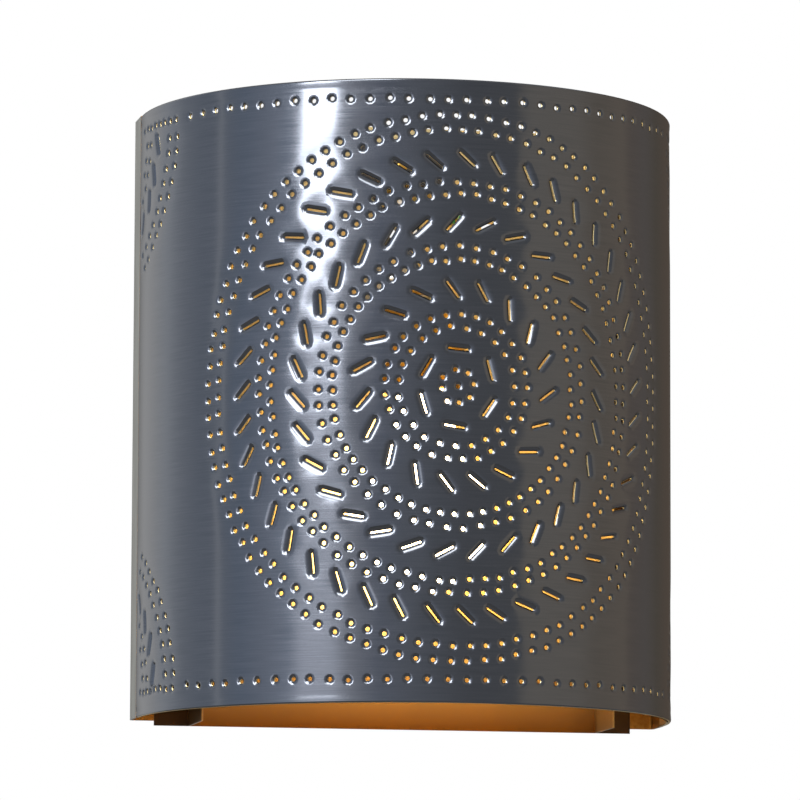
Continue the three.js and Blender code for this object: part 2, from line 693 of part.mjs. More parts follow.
addLamp("bulb_base", turned(baseProfile), NICKEL);

const neckRadius = baseInside - SEAT_GAP;
const neckTop = baseTop - THREAD_PITCH;
const glassEnd = -SOCKET_HEIGHT - GLASS_LENGTH;
const globeCentre = glassEnd + GLOBE_RADIUS;
// The bulb's outline from the globe's end up to the neck, set in by a wall's thickness or none.
const bulbOutline = (inset) => {
  const radius = GLOBE_RADIUS - inset;
  const round = [-90, -72, -54, -36, -18, 0, 18, 33].map((degrees) => [
    Math.max(radius * Math.cos(radians(degrees)), 0),
    globeCentre + radius * Math.sin(radians(degrees)),
  ]);
  const [shoulder, shoulderLevel] = round[round.length - 1];
  const neck = neckRadius - inset;
  const flare = [0.3, 0.6, 0.85].map((share) => [
    shoulder + (neck - shoulder) * share ** 0.75,
    shoulderLevel + (baseEnd - shoulderLevel) * share,
  ]);
  return [[0, round[0][1]], ...round.slice(1), ...flare, [neck, baseEnd], [neck, neckTop]];
};
addLamp("bulb_glass", turned([...bulbOutline(0), ...bulbOutline(GLASS_WALL).reverse()]), FROSTED_GLASS);

const flareRadius = neckRadius - GLASS_WALL - SEAT_GAP;
const stemEnd = neckTop - STEM_LENGTH;
addLamp(
  "bulb_stem",
  turned(
    [
      [0, stemEnd],
      [STEM_RADIUS, stemEnd],
      [STEM_RADIUS, neckTop - STEM_LENGTH / 2],
      [flareRadius, neckTop - GLASS_WALL],
      [flareRadius, neckTop],
      [0, neckTop],
    ],
    20,
  ),
  CLEAR_GLASS,
);
const supportTop = stemEnd - SEAT_GAP;
for (const [word, side] of SIDES)
  addLamp(
    `${word}_filament_support`,
    wire(
      [
        [side * (STEM_RADIUS - 2 * SUPPORT_RADIUS), 0, supportTop],
        [side * (STEM_RADIUS + SUPPORT_RADIUS), 0, supportTop - SUPPORT_DROP / 3],
        [side * SUPPORT_SPREAD, 0, supportTop - SUPPORT_DROP],
      ],
      SUPPORT_RADIUS,
      8,
    ),
    STEEL,
  );
const filamentEnd = SUPPORT_SPREAD + FILAMENT_RADIUS;
const filamentLevel = supportTop - SUPPORT_DROP - 2 * FILAMENT_RADIUS - SEAT_GAP;
addLamp(
  "bulb_filament",
  wire(
    [
      [-filamentEnd, 0, filamentLevel],
      [0, 0, filamentLevel - 2 * FILAMENT_RADIUS],
      [filamentEnd, 0, filamentLevel],
    ],
    FILAMENT_RADIUS,
    12,
  ),
  TUNGSTEN,
);

export default sconce;
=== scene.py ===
# A punched tin wall sconce, dressed in the order in which it is put together.
# Sizes are millimetres, and MM turns them into the frame's metres.
import math

import bmesh
import bpy
import numpy as np
from mathutils import Matrix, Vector
from mathutils.geometry import delaunay_2d_cdt


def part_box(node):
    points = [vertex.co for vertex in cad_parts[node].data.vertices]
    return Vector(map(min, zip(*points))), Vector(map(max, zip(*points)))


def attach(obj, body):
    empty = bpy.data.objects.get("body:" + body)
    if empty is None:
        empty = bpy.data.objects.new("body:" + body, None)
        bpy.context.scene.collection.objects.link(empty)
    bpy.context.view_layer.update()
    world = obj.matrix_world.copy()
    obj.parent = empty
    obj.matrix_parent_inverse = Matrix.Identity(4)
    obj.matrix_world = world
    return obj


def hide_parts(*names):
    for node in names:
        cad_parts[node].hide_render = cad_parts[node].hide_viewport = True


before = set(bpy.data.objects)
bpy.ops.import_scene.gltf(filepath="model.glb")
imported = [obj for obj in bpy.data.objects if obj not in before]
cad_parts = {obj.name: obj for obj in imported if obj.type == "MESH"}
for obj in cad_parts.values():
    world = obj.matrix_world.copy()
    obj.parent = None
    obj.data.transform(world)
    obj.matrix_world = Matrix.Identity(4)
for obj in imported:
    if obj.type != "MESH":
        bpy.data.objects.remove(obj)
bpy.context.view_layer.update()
MM = 0.001

# Camera: a long lens, a little to the left of the sconce and below it, looking up.
# The angles, distance and focal length come from fitting the shade's edges and rings.
AZIMUTH = math.radians(-11.322)
ELEVATION = math.radians(-7.198)
ROLL = math.radians(0.206)
DISTANCE = 2431.9
TARGET = np.array([-9.7, -60, 3.94])
FOCAL_LENGTH = 263.34
SENSOR_WIDTH = 36


def heading(azimuth, elevation):
    """The unit vector at an azimuth from the front, positive to the right, and an elevation."""
    level = math.cos(elevation)
    return np.array([math.sin(azimuth) * level, -math.cos(azimuth) * level, math.sin(elevation)])


backward = heading(AZIMUTH, ELEVATION)
level_right = np.cross(-backward, [0, 0, 1])
level_right /= np.linalg.norm(level_right)
level_up = np.cross(level_right, -backward)
right = math.cos(ROLL) * level_right + math.sin(ROLL) * level_up
upward = math.cos(ROLL) * level_up - math.sin(ROLL) * level_right
camera_data = bpy.data.cameras.new("camera")
camera_data.lens = FOCAL_LENGTH
camera_data.sensor_width = SENSOR_WIDTH
camera = bpy.data.objects.new("camera", camera_data)
turn = Matrix(np.stack([right, upward, backward], 1).tolist()).to_4x4()
camera.matrix_world = Matrix.Translation((TARGET + DISTANCE * backward) * MM) @ turn
bpy.context.scene.collection.objects.link(camera)
bpy.context.scene.camera = camera
bpy.context.scene.view_settings.view_transform = "Standard"

# Studio: a white sweep all round, a tall window light at the left front and paper cards beside the sconce.
# The cards stand where the tin reflects them, and only reflections see them.
FLOOR_LEVEL = -2700
FLOOR_SIZE = 24000
FLOOR_ROUGHNESS = 0.8
AMBIENT = 0.55
CARD_COLUMNS = 361


def linear(code):
    """Linear RGBA of an sRGB hex code: c / 12.92 where dark, ((c + 0.055) / 1.055) ** 2.4 elsewhere."""
    srgb = np.array([int(code[i:i + 2], 16) for i in (1, 3, 5)]) / 255
    return (*np.where(srgb < 0.04045, srgb / 12.92, ((srgb + 0.055) / 1.055) ** 2.4).tolist(), 1.0)


def node(tree, kind, inputs, **settings):
    """Adds a node with its settings, and gives each named input a value or a link from an output."""
    added = tree.nodes.new(kind)
    for name, value in settings.items():
        setattr(added, name, value)
    for name, value in inputs.items():
        if isinstance(value, bpy.types.NodeSocket):
            tree.links.new(value, added.inputs[name])
        else:
            added.inputs[name].default_value = value
    return added


world = bpy.data.worlds.new("white_sweep")
world.use_nodes = True
world.node_tree.nodes.clear()
path = node(world.node_tree, "ShaderNodeLightPath", {})
mirrored = node(world.node_tree, "ShaderNodeMath",
                {0: path.outputs["Is Glossy Ray"], 1: path.outputs["Is Transmission Ray"]},
                operation="MAXIMUM")
seen = node(world.node_tree, "ShaderNodeMath",
            {0: path.outputs["Is Camera Ray"], 1: mirrored.outputs[0]}, operation="MAXIMUM")
level = node(world.node_tree, "ShaderNodeMapRange",
             {"Value": seen.outputs[0], "To Min": AMBIENT, "To Max": 1.0})
sweep = node(world.node_tree, "ShaderNodeBackground",
             {"Color": linear("#ffffff"), "Strength": level.outputs[0]})
node(world.node_tree, "ShaderNodeOutputWorld", {"Surface": sweep.outputs[0]})
bpy.context.scene.world = world


def quads(rows, columns, close_rows=True):
    """Quads of a grid that closes on itself along its columns, and along its rows if asked."""
    grid = np.arange(rows * columns).reshape(rows, columns)
    below = np.roll(grid, -1, 0)
    cells = np.stack([grid, below, np.roll(below, -1, 1), np.roll(grid, -1, 1)], -1)
    return (cells if close_rows else cells[:-1]).reshape(-1, 4)


def staged(name, points, faces, material):
    """A thing of the studio, made from points in mm."""
    mesh = bpy.data.meshes.new(name)
    mesh.from_pydata((points * MM).tolist(), [], faces.tolist())
    mesh.materials.append(material)
    thing = bpy.data.objects.new(name, mesh)
    bpy.context.scene.collection.objects.link(thing)
    return thing


floor_paint = bpy.data.materials.new("matt_white_floor")
floor_paint.use_nodes = True
floor_shader = floor_paint.node_tree.nodes["Principled BSDF"]
floor_shader.inputs["Base Color"].default_value = linear("#e6e4e0")
floor_shader.inputs["Roughness"].default_value = FLOOR_ROUGHNESS
floor_square = np.array([[-1, -1, 0], [1, -1, 0], [1, 1, 0], [-1, 1, 0]])
floor_corners = floor_square * FLOOR_SIZE / 2 + [0, 0, FLOOR_LEVEL]
staged("floor", floor_corners, np.array([[0, 1, 2, 3]]), floor_paint)


def card(name, reach, low, high, panels):
    """A card bent round the sconce: P(a, h) = reach * heading(a) + h up, its panels' light blended."""
    stops, strengths = np.array([panel[:2] for panel in panels]).T
    shades = np.array([linear(panel[2])[:3] for panel in panels]) * strengths[:, None]
    azimuths = np.linspace(stops[0], stops[-1], CARD_COLUMNS)
    glow = np.stack([np.interp(azimuths, stops, shades[:, channel]) for channel in range(3)], -1)
    turns = np.radians(azimuths)
    across = np.stack([np.sin(turns), -np.cos(turns), 0 * turns], -1) * reach
    points = (across[:, None] + np.array([[0, 0, low], [0, 0, high]])).reshape(-1, 3)
    first = np.arange(0, 2 * CARD_COLUMNS - 2, 2)[:, None]
    paper = bpy.data.materials.new(name + "_paper")
    paper.use_nodes = True
    paper.node_tree.nodes.clear()
    tint = node(paper.node_tree, "ShaderNodeAttribute", {}, attribute_name="glow")
    light = node(paper.node_tree, "ShaderNodeEmission", {"Color": tint.outputs["Color"], "Strength": 1.0})
    node(paper.node_tree, "ShaderNodeOutputMaterial", {"Surface": light.outputs[0]})
    sheet = staged(name, points, first + [0, 2, 3, 1], paper)
    colours = sheet.data.attributes.new("glow", "FLOAT_COLOR", "POINT")
    colours.data.foreach_set("color", np.c_[np.repeat(glow, 2, 0), np.ones(len(points))].ravel())
    sheet.visible_camera = False
    sheet.visible_diffuse = False
    sheet.visible_shadow = False


# Azimuth in degrees, light and tint of each panel. The tent goes round from the back, left side first.
card("tent", reach=2200, low=-900, high=2200, panels=(
    (-180, 0.3, "#ffffff"), (-166, 0.35, "#ffffff"), (-155, 0.9, "#ffffff"), (-143, 1.2, "#ffffff"),
    (-130, 1.55, "#f6faff"), (-118, 1.35, "#f0f6ff"), (-106, 1.25, "#e9f2ff"), (-96, 1.25, "#e9f2ff"),
    (-94, 2.5, "#f6f6f6"), (-92, 1.3, "#e9f2ff"), (-82, 1.4, "#dcebff"), (-70, 1.65, "#e6efff"),
    (-58, 2.1, "#e6f0ff"), (-53, 3.6, "#f4f7ff"), (-40, 3.6, "#f4f7ff"), (-33, 1.85, "#f6f8ff"),
    (-21, 1.2, "#e9f0ff"), (-9, 1.0, "#f2f6ff"), (3, 0.8, "#f4f8ff"), (15, 0.66, "#fafbff"),
    (37, 0.62, "#ffffff"), (40, 1.12, "#fff3e2"), (66, 1.1, "#fff0dc"), (76, 0.95, "#ffecd4"),
    (95, 0.95, "#ffe9d0"), (99, 0.7, "#ffe9d6"), (112, 0.5, "#fff0e4"), (125, 0.28, "#ffeed8"),
    (137, 0.2, "#ffe6d0"), (150, 0.12, "#ffe6d0"), (180, 0.3, "#ffffff")))
card("window", reach=2120, low=340, high=2300, panels=((-54, 20.0, "#fbfcff"), (-39, 20.0, "#fbfcff")))
card("overhead", reach=1000, low=430, high=1350, panels=(
    (-42, 2.0, "#ffffff"), (-36, 16.0, "#ffffff"), (-20, 16.0, "#ffffff"), (-12, 2.0, "#ffffff")))


def lamp(name, azimuth, elevation, reach, width, height, power, code):
    """A soft box that faces the sconce from an azimuth and elevation in degrees."""
    data = bpy.data.lights.new(name, "AREA")
    data.shape = "RECTANGLE"
    data.size = width * MM
    data.size_y = height * MM
    data.energy = power
    data.color = linear(code)[:3]
    box = bpy.data.objects.new(name, data)
    away = heading(math.radians(azimuth), math.radians(elevation))
    side = np.cross([0, 0, 1], away) / np.linalg.norm(np.cross([0, 0, 1], away))
    facing = Matrix(np.stack([side, np.cross(away, side), away], 1).tolist()).to_4x4()
    box.matrix_world = Matrix.Translation(away * reach * MM) @ facing
    bpy.context.scene.collection.objects.link(box)
    box.visible_glossy = False


lamp("key_light", azimuth=-46, elevation=35, reach=2000, width=900, height=1500, power=26, code="#fffaf4")
lamp("fill_light", azimuth=55, elevation=25, reach=2200, width=1600, height=1600, power=16, code="#fff6ec")
lamp("back_light", azimuth=160, elevation=30, reach=2200, width=1600, height=1600, power=14, code="#ffffff")

# Wall plate: a tray folded from one tinned sheet, screwed to the wall box through its two slots.
# Tinplate under a thin, smooth gold lacquer, so its colour drifts only a little and its gloss not at all.
# Painted shade darkens the gold to brown towards the plate's foot, less on the side flanges, and paints the
# wings outside the flanges dark.
GOLD_SHADES = ("#d8c28b", "#dcc691")
GOLD_LOOK = {"grain": 40, "Roughness": 0.28, "Metallic": 0.8}
# Painted shade: a brown at the plate's foot that fades out upwards, with less of it on the lit side flanges.
FOOT_PAINTED_SHADE = "#764a14"
FOOT_SHADE_FROM = -128
FOOT_SHADE_TO = -80
FLANGE_LIT_FROM = -2
FLANGE_LIT_TO = -6
FLANGE_LIT_SHARE = 0.4
# Painted shade: a dark colour for the wings outside the side flanges, where the flanges cast shade.
WING_PAINTED_SHADE = "#3a2815"
WING_SHADE_FROM = 87.5
WING_SHADE_TO = 88.2
NOISE_DETAIL = 5.0
NOISE_LOW = 0.3
NOISE_HIGH = 0.7
MIX_FROM, MIX_TO, MIXED = 6, 7, 2  # a Mix node's two colour inputs and its colour output
WELD = 0.001
EDGE_ANGLE = math.radians(35)
EDGE_STEPS = 2


def finish(name, shades, grain, roughness=None, relief=None, stretch=(1, 1, 1), coordinates="Object",
           **values):
    """A Principled material in which one noise pattern moves the colour, the roughness and a slight relief.

    shades are two sRGB colours, grain is the pattern's size in mm, and stretch its length along each axis
    in grains. roughness gives two ends and relief a depth in mm, where these follow the pattern. values
    are the same all over, and go on the shader's own sockets.
    """
    material = bpy.data.materials.new(name)
    material.use_nodes = True
    tree = material.node_tree
    shader = tree.nodes["Principled BSDF"]
    places = node(tree, "ShaderNodeTexCoord", {})
    scale = tuple(1 / (grain * MM * length) for length in stretch)
    spread = node(tree, "ShaderNodeMapping", {"Vector": places.outputs[coordinates], "Scale": scale})
    pattern = node(tree, "ShaderNodeTexNoise",
                   {"Vector": spread.outputs[0], "Scale": 1.0, "Detail": NOISE_DETAIL})
    share = node(tree, "ShaderNodeMapRange",
                 {"Value": pattern.outputs["Fac"], "From Min": NOISE_LOW, "From Max": NOISE_HIGH})
    colour = node(tree, "ShaderNodeMix",
                  {0: share.outputs[0], MIX_FROM: linear(shades[0]), MIX_TO: linear(shades[1])},
                  data_type="RGBA")
    tree.links.new(colour.outputs[MIXED], shader.inputs["Base Color"])
    if roughness:
        rough = node(tree, "ShaderNodeMapRange",
                     {"Value": share.outputs[0], "To Min": roughness[0], "To Max": roughness[1]})
        tree.links.new(rough.outputs[0], shader.inputs["Roughness"])
    if relief:
        bump = node(tree, "ShaderNodeBump",
                    {"Height": share.outputs[0], "Distance": relief * MM, "Strength": 1.0})
        tree.links.new(bump.outputs[0], shader.inputs["Normal"])
    for socket, value in values.items():
        shader.inputs[socket.replace("_", " ")].default_value = value
    return material


def rounded(shape, rounding):
    """Rounds a shape's sharp edges by so many mm, and returns the bevel."""
    edges = shape.modifiers.new("edges", "BEVEL")
    edges.width = rounding * MM
    edges.segments = EDGE_STEPS
    edges.limit_method = "ANGLE"
    edges.angle_limit = EDGE_ANGLE
    return edges


def kept(name, material, rounding):
    """A node that keeps its shape: its triangles are welded, its edges rounded, its finish set."""
    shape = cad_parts[name]
    shape.data.materials.clear()
    shape.data.materials.append(material)
    weld = shape.modifiers.new("weld", "WELD")
    weld.merge_threshold = WELD * MM
    rounded(shape, rounding)


gold_tin = finish("gold_lacquered_tin", GOLD_SHADES, **GOLD_LOOK)
shaded_plate_tin = finish("gold_tin_painted_shade", GOLD_SHADES, **GOLD_LOOK)
plate_tree = shaded_plate_tin.node_tree
plate_shader = plate_tree.nodes["Principled BSDF"]
lacquer = plate_shader.inputs["Base Color"].links[0].from_socket
# Painted shade: the gold darkens to brown towards the foot, the flanges keep some gold, and the wings go
# dark.
plate_places = node(plate_tree, "ShaderNodeTexCoord", {})
plate_split = node(plate_tree, "ShaderNodeSeparateXYZ", {0: plate_places.outputs["Object"]})
foot_lit_share = node(plate_tree, "ShaderNodeMapRange",
                {"Value": plate_split.outputs["Z"], "From Min": FOOT_SHADE_FROM * MM, "From Max": FOOT_SHADE_TO * MM})
flange_lit_share = node(plate_tree, "ShaderNodeMapRange",
                {"Value": plate_split.outputs["Y"], "From Min": FLANGE_LIT_FROM * MM, "From Max": FLANGE_LIT_TO * MM,
                 "To Max": FLANGE_LIT_SHARE})
plate_lit_share = node(plate_tree, "ShaderNodeMath",
              {0: foot_lit_share.outputs[0], 1: flange_lit_share.outputs[0]}, operation="MAXIMUM")
foot_shaded = node(plate_tree, "ShaderNodeMix",
               {0: plate_lit_share.outputs[0], MIX_FROM: linear(FOOT_PAINTED_SHADE), MIX_TO: lacquer}, data_type="RGBA")
sideways = node(plate_tree, "ShaderNodeMath", {0: plate_split.outputs["X"]}, operation="ABSOLUTE")
wing_shade_mask = node(plate_tree, "ShaderNodeMapRange",
            {"Value": sideways.outputs[0], "From Min": WING_SHADE_FROM * MM, "From Max": WING_SHADE_TO * MM})
wing_shaded = node(plate_tree, "ShaderNodeMix",
              {0: wing_shade_mask.outputs[0], MIX_FROM: foot_shaded.outputs[MIXED], MIX_TO: linear(WING_PAINTED_SHADE)},
              data_type="RGBA")
plate_tree.links.new(wing_shaded.outputs[MIXED], plate_shader.inputs["Base Color"])
kept("wall_plate", shaded_plate_tin, rounding=0.25)

# Wire grommet: a black rubber ring pushed into the wire hole, its lip in front of the plate.
# Moulded rubber, matt and slightly dusty.
GROMMET_BORE = 5.5
GROMMET_NECK = 7.7
GROMMET_SEAT = 1.1
TURNED_SIDES = 72
OUT = (0, -1, 0)
ON_WALL = np.array([1, 0, 1])


def middle(name):
    """The middle of a node's box, in mm."""
    return np.mean(np.array(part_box(name)), axis=0) / MM


def extent(name):
    """The size of a node's box, in mm."""
    low, high = np.array(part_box(name)) / MM
    return high - low


def turned(profile, place, axis, ripple=None):
    """A lathe shape: P(u, v) = place + r(v) * (cos u * across + sin u * over) + h(v) * axis.

    r and h go round a closed profile, and ripple adds to r.
    """
    axis = np.asarray(axis, float)
    across = np.roll(axis, 1)
    over = np.cross(axis, across)
    angle = np.linspace(0, 2 * math.pi, TURNED_SIDES, endpoint=False)[:, None]
    radius, height = np.asarray(profile, float).T[:, None]
    if ripple:
        radius = radius + ripple(angle, height)
    spoke = np.cos(angle)[..., None] * across + np.sin(angle)[..., None] * over
    points = place + (radius + 0 * angle)[..., None] * spoke + (height + 0 * angle)[..., None] * axis
    return points.reshape(-1, 3), quads(TURNED_SIDES, len(profile))


def piece(name, shape, material, body, slot, *nodes, rounding=0.0):
    """Makes a piece from points in mm and faces, merges its poles, and puts it in the frame for its nodes."""
    points, faces = shape
    mesh = bpy.data.meshes.new(name)
    mesh.from_pydata((points * MM).tolist(), [], faces.tolist())
    clean = bmesh.new()
    clean.from_mesh(mesh)
    bmesh.ops.remove_doubles(clean, verts=clean.verts, dist=WELD * MM)
    bmesh.ops.recalc_face_normals(clean, faces=clean.faces)
    clean.to_mesh(mesh)
    clean.free()
    mesh.shade_smooth()
    mesh.set_sharp_from_angle(angle=EDGE_ANGLE)
    mesh.materials.append(material)
    made = bpy.data.objects.new(name, mesh)
    bpy.context.scene.collection.objects.link(made)
    if rounding:
        rounded(made, rounding).harden_normals = True
    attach(made, body)
    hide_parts(*nodes)
    return made


rubber = finish("black_rubber", ("#1b1b1b", "#2a2928"), grain=2, roughness=(0.7, 0.85), relief=0.03)
grommet_lip, grommet_length, _ = extent("wire_grommet") / [2, 1, 2]
grommet_back = middle("wire_grommet") * ON_WALL
grommet_profile = [(GROMMET_BORE, 0), (GROMMET_NECK, 0), (GROMMET_NECK, GROMMET_SEAT),
                   (grommet_lip, GROMMET_SEAT), (grommet_lip, grommet_length), (GROMMET_BORE, grommet_length)]
piece("rubber_grommet", turned(grommet_profile, grommet_back, OUT), rubber, "wall_plate", "black_rubber",
      "wire_grommet", rounding=0.6)

# Hanger pins: steel rivets through the plate's side flanges, for the shade's hooks to hang on.
# Turned and zinc plated steel, bright where the hooks rub.
PIN_RADIUS = 2.5
PIN_HEAD = 1.6
steel = finish("zinc_plated_steel", ("#a5a6a4", "#c4c4c0"), grain=4, roughness=(0.28, 0.4), relief=0.01,
               Metallic=1.0)
for word, side in (("left", -1), ("right", 1)):
    node_name = word + "_hanger_pin"
    pin_length, head_width, _ = extent(node_name)
    pin_profile = [(0, 0), (head_width / 2, 0), (head_width / 2, PIN_HEAD), (PIN_RADIUS, PIN_HEAD),
                   (PIN_RADIUS, pin_length - PIN_HEAD), (head_width / 2, pin_length - PIN_HEAD),
                   (head_width / 2, pin_length), (0, pin_length)]
    pin_foot = middle(node_name) - [side * pin_length / 2, 0, 0]
    piece(word + "_pin", turned(pin_profile, pin_foot, (side, 0, 0)), steel, "wall_plate", "plain_steel",
          node_name, rounding=0.4)

# Socket bracket: a zinc plated steel strap with its leg riveted to the plate and its arm over the bulb.
# Two round-headed rivets hold the leg.
RIVET_RADIUS = 1.8
RIVET_HEAD = 1.2
RIVET_STEPS = 7
kept("socket_bracket", steel, rounding=0.2)
for number in ("1", "2"):
    node_name = "bracket_rivet_" + number
    head_width, rivet_length, _ = extent(node_name)
    dome = np.radians(np.linspace(0, 90, RIVET_STEPS))
    rivet_profile = [(0, 0), (RIVET_RADIUS, 0), (RIVET_RADIUS, rivet_length - RIVET_HEAD),
                     *zip(head_width / 2 * np.cos(dome), rivet_length - RIVET_HEAD * (1 - np.sin(dome)))]
    piece("rivet_" + number, turned(rivet_profile, middle(node_name) * ON_WALL, OUT), steel, "wall_plate",
          "plain_steel", node_name)

# Lamp socket: a brass cup with a brass screw shell and contact inside, on a threaded brass nipple.
# A washer and a nut above the arm hold the nipple. Spun and turned brass, lacquered, with a soft gloss.
SOCKET_RADIUS = 18
SOCKET_CROWN = 15.5
SOCKET_ROOF = 7
SOCKET_CAVITY = 15.1
NIPPLE_HOLE = 5.2
NIPPLE_BORE = 3.7
NIPPLE_SEAT = 5
NIPPLE_PITCH = 0.94
NIPPLE_GROOVE = 0.35
NIPPLE_STEPS = 120
THREAD_PITCH = 3.629
THREAD_DEPTH = 0.8
THREAD_STEPS = 90
SHELL_WALL = 0.6
UP = (0, 0, 1)
brass = finish("lamp_brass", ("#a9863f", "#c9a352"), grain=3, roughness=(0.28, 0.42), relief=0.01,
               Metallic=1.0)
lamp_axis = middle("socket_body") * [1, 1, 0]


def tube(name):
    """Lowest and highest level and outer radius of an upright round node."""
    low, high = np.array(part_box(name)) / MM
    return low[2], high[2], (high[0] - low[0]) / 2


def threaded(low, high, inner, outer, wave_inside):
    """A spun screw thread: both walls, or the outer one only, sink by depth / 2 * (1 + cos(climb + turn))."""
    levels = np.linspace(low, high, THREAD_STEPS)
    walls = [*zip(np.full(THREAD_STEPS, outer), levels), *zip(np.full(THREAD_STEPS, inner), levels[::-1])]
    waving = np.repeat([1.0, float(wave_inside)], THREAD_STEPS)

    def ripple(angle, height):
        return -waving * THREAD_DEPTH * (1 + np.cos(2 * math.pi * (height - low) / THREAD_PITCH + angle)) / 2

    return turned(walls, lamp_axis, UP, ripple)


socket_low, socket_high = np.array(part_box("socket_body"))[:, 2] / MM
roof_low = socket_high - SOCKET_ROOF
cup = [(SOCKET_CAVITY, socket_low), (SOCKET_RADIUS, socket_low),
       (SOCKET_RADIUS, socket_high - 2 * SOCKET_ROOF), (SOCKET_CROWN, roof_low),
       (SOCKET_CROWN, socket_high), (NIPPLE_HOLE, socket_high),
       (NIPPLE_HOLE, socket_high - NIPPLE_SEAT), (NIPPLE_BORE, socket_high - NIPPLE_SEAT),
       (NIPPLE_BORE, roof_low), (SOCKET_CAVITY, roof_low)]
piece("socket_cup", turned(cup, lamp_axis, UP), brass, "wall_plate", "lamp_brass", "socket_body",
      rounding=0.8)
contact_low, contact_high, contact_radius = tube("socket_contact")
disc = [(0, contact_low), (contact_radius, contact_low), (contact_radius, contact_high), (0, contact_high)]
piece("contact_disc", turned(disc, lamp_axis, UP), brass, "wall_plate", "lamp_brass", "socket_contact",
      rounding=0.25)
shell_low, shell_high, shell_radius = tube("socket_screw_shell")
shell = threaded(shell_low, shell_high, shell_radius - SHELL_WALL, shell_radius, True)
piece("screw_shell", shell, brass, "wall_plate", "lamp_brass", "socket_screw_shell")
nipple_low, nipple_high, nipple_radius = tube("socket_nipple")
nipple_levels = np.linspace(nipple_low, nipple_high, NIPPLE_STEPS)
nipple_climb = ((nipple_levels - nipple_low) / NIPPLE_PITCH) % 1
nipple_wall = nipple_radius - NIPPLE_GROOVE * np.abs(nipple_climb * 2 - 1)
nipple = [*zip(nipple_wall, nipple_levels), (NIPPLE_BORE, nipple_high), (NIPPLE_BORE, nipple_low)]
piece("threaded_nipple", turned(nipple, lamp_axis, UP), brass, "wall_plate", "lamp_brass", "socket_nipple")
washer_low, washer_high, washer_radius = tube("socket_washer")
washer = [(NIPPLE_HOLE, washer_low), (washer_radius, washer_low), (washer_radius, washer_high),
          (NIPPLE_HOLE, washer_high)]
piece("flat_washer", turned(washer, lamp_axis, UP), steel, "wall_plate", "plain_steel", "socket_washer",
      rounding=0.2)
kept("socket_nut", brass, rounding=0.3)

# Terminal block and earth screw: a block screwed to the plate, with a brass clamp screw over each wire entry.
# The block is moulded black phenolic with a dull sheen. The earth lug is a brass ring under a hexagon screw,
# which is painted green.
phenolic = finish("black_phenolic", ("#171514", "#231f1d"), grain=5, roughness=(0.38, 0.5), relief=0.01)
green_paint = finish("green_paint", ("#23653a", "#2f7a47"), grain=3, roughness=(0.35, 0.5), relief=0.01)
kept("terminal_block", phenolic, rounding=0.6)
kept("earth_screw", green_paint, rounding=0.3)
for word in ("hot", "neutral", "earth"):
    kept(word + "_clamp_screw", brass, rounding=0.25)
for number in ("1", "2"):
    kept("block_screw_" + number, steel, rounding=0.2)
kept("earth_lug", brass, rounding=0.2)

# Leads: stranded copper in PVC, from the socket's contacts up through the nipple and back to the block.
# Each is held at both ends, and the earth lead runs from the block to the lug.
# Extruded PVC has an even satin skin.
LEAD_RADIUS = 1.1
LEAD_SIDES = 16
LEAD_STEPS = 14
LEAD_SPREAD = 1.75
LEAD_SAG = 10
POLE_PITCH = 11
ENTRY_DEPTH = 4.7
LUG_GAP = 0.3
PVC_LOOK = {"grain": 3, "roughness": (0.45, 0.55), "relief": 0.02}


def drawn(route, radius, beside):
    """A round wire along a smooth line: P(t, u) = C(t) + radius * (cos u * side(t) + sin u * over(t)).

    C runs through the route's points as a Catmull-Rom curve, and the radius falls to nothing at both ends.
    """
    route = np.asarray(route, float)
    padded = np.concatenate([2 * route[:1] - route[1:2], route, 2 * route[-1:] - route[-2:-1]])
    before, start, stop, after = padded[:-3], padded[1:-2], padded[2:-1], padded[3:]
    share = np.linspace(0, 1, LEAD_STEPS, endpoint=False)[None, :, None]
    cubic = (2 * start[:, None] + (stop - before)[:, None] * share
             + (2 * before - 5 * start + 4 * stop - after)[:, None] * share ** 2
             + (3 * start - before - 3 * stop + after)[:, None] * share ** 3) / 2
    line = np.concatenate([cubic.reshape(-1, 3), route[-1:]])
    along = np.gradient(line, axis=0)
    along /= np.linalg.norm(along, axis=1, keepdims=True)
    side = beside - along * (along @ np.asarray(beside, float))[:, None]
    side /= np.linalg.norm(side, axis=1, keepdims=True)
    over = np.cross(along, side)
    line = np.concatenate([line[:1], line, line[-1:]])
    side = np.concatenate([side[:1], side, side[-1:]])
    over = np.concatenate([over[:1], over, over[-1:]])
    width = np.full(len(line), radius)
    width[[0, -1]] = 0
    angle = np.linspace(0, 2 * math.pi, LEAD_SIDES, endpoint=False)
    ring = np.cos(angle)[None, :, None] * side[:, None] + np.sin(angle)[None, :, None] * over[:, None]
    points = line[:, None] + width[:, None, None] * ring
    return points.reshape(-1, 3), quads(len(line), LEAD_SIDES, close_rows=False)


block_foot = tube("terminal_block")[0]
lead_reach = lamp_axis[1]
entry = middle("terminal_block")[1]
lead_foot = np.array(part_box("hot_lead"))[0, 2] / MM
black_pvc = finish("black_pvc", ("#141517", "#1f2022"), **PVC_LOOK)
white_pvc = finish("white_pvc", ("#e2dfd7", "#efece5"), **PVC_LOOK)
green_pvc = finish("green_pvc", ("#296d3b", "#35844a"), **PVC_LOOK)
for word, start, end, pvc, slot_name in (("hot", -LEAD_SPREAD, -POLE_PITCH, black_pvc, "black_pvc"),
                                         ("neutral", LEAD_SPREAD, 0, white_pvc, "white_pvc")):
    route = [(start, lead_reach, lead_foot), (start, lead_reach, nipple_high),
             (start, lead_reach, nipple_high + LEAD_SAG / 2),
             ((start + end) / 2, lead_reach / 2 - LEAD_SAG, (nipple_high + block_foot) / 2),
             (end, entry, block_foot - LEAD_SAG / 2), (end, entry, block_foot),
             (end, entry, block_foot + ENTRY_DEPTH)]
    piece(word + "_wire", drawn(route, LEAD_RADIUS, (1, 0, 0)), pvc, "wall_plate", slot_name, word + "_lead")
